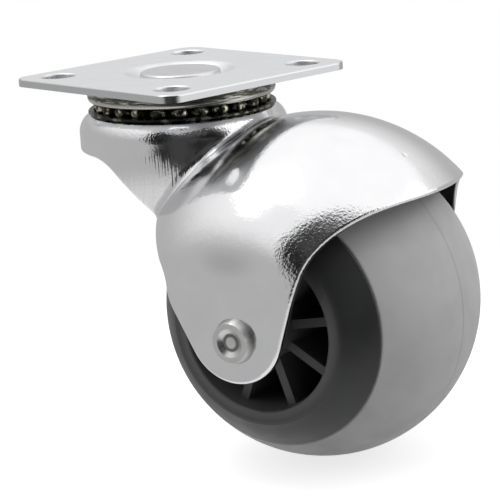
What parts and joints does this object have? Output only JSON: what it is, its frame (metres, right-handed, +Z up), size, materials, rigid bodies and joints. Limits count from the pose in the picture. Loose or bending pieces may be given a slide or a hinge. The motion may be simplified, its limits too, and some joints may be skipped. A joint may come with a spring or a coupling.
{
  "type": "ball castor",
  "caption": "Swivel ball castor with a square top plate, a double ball race, a pressed chrome hood and a black and grey ball wheel on a riveted axle.",
  "frame": {"origin": "middle of the top plate's upper face, on the swivel axis", "axes": "+Z up out of the plate, X and Y square to the plate; the hood trails towards +X, turned 14.2 degrees about Z"},
  "size_m": [0.0685, 0.0555, 0.0611],
  "materials": {
    "zinc_plate": "bright zinc plated pressed steel",
    "race_steel": "greased pressed steel",
    "ball_steel": "polished steel under grease",
    "pin_steel": "bright zinc plated steel",
    "hood_chrome": "chrome plated pressed steel",
    "rivet_steel": "bright steel with a spun rivet head",
    "core_plastic": "moulded black plastic with a soft sheen",
    "tread_rubber": "grey satin tread"
  },
  "bodies": {
    "mounting": {"top_plate": "zinc_plate", "upper_race": "race_steel", "kingpin": "pin_steel", "lower_race": "race_steel"},
    "swivel": {"hood": "hood_chrome", "race_cup": "race_steel", "axle": "rivet_steel"},
    "wheel": {"wheel_core": "core_plastic", "wheel_tread": "tread_rubber"},
    "upper_ring": {"upper_ball_01": "ball_steel", "upper_ball_02": "ball_steel", "upper_ball_03": "ball_steel", "upper_ball_04": "ball_steel", "upper_ball_05": "ball_steel", "upper_ball_06": "ball_steel", "upper_ball_07": "ball_steel", "upper_ball_08": "ball_steel", "upper_ball_09": "ball_steel", "upper_ball_10": "ball_steel", "upper_ball_11": "ball_steel", "upper_ball_12": "ball_steel", "upper_ball_13": "ball_steel", "upper_ball_14": "ball_steel", "upper_ball_15": "ball_steel", "upper_ball_16": "ball_steel", "upper_ball_17": "ball_steel", "upper_ball_18": "ball_steel", "upper_ball_19": "ball_steel", "upper_ball_20": "ball_steel", "upper_ball_21": "ball_steel", "upper_ball_22": "ball_steel", "upper_ball_23": "ball_steel", "upper_ball_24": "ball_steel", "upper_ball_25": "ball_steel"},
    "lower_ring": {"lower_ball_01": "ball_steel", "lower_ball_02": "ball_steel", "lower_ball_03": "ball_steel", "lower_ball_04": "ball_steel", "lower_ball_05": "ball_steel", "lower_ball_06": "ball_steel", "lower_ball_07": "ball_steel", "lower_ball_08": "ball_steel", "lower_ball_09": "ball_steel", "lower_ball_10": "ball_steel", "lower_ball_11": "ball_steel", "lower_ball_12": "ball_steel", "lower_ball_13": "ball_steel", "lower_ball_14": "ball_steel"}
  },
  "joints": [
    {"name": "swivel_turn", "type": "hinge", "parent": "mounting", "child": "swivel", "pos_m": [0, 0, 0], "axis": [0, 0, 1], "continuous": true},
    {"name": "wheel_spin", "type": "hinge", "parent": "swivel", "child": "wheel", "pos_m": [0.02404, 0.00608, -0.0361], "axis": [-0.2453, 0.9694, 0], "continuous": true},
    {"name": "upper_ring_orbit", "type": "hinge", "parent": "mounting", "child": "upper_ring", "pos_m": [0, 0, 0], "axis": [0, 0, 1], "continuous": true},
    {"name": "lower_ring_orbit", "type": "hinge", "parent": "mounting", "child": "lower_ring", "pos_m": [0, 0, 0], "axis": [0, 0, 1], "continuous": true}
  ],
  "couplings": [
    {"joint": "upper_ring_orbit", "follows": "swivel_turn", "ratio": 0.5},
    {"joint": "lower_ring_orbit", "follows": "swivel_turn", "ratio": 0.5}
  ]
}
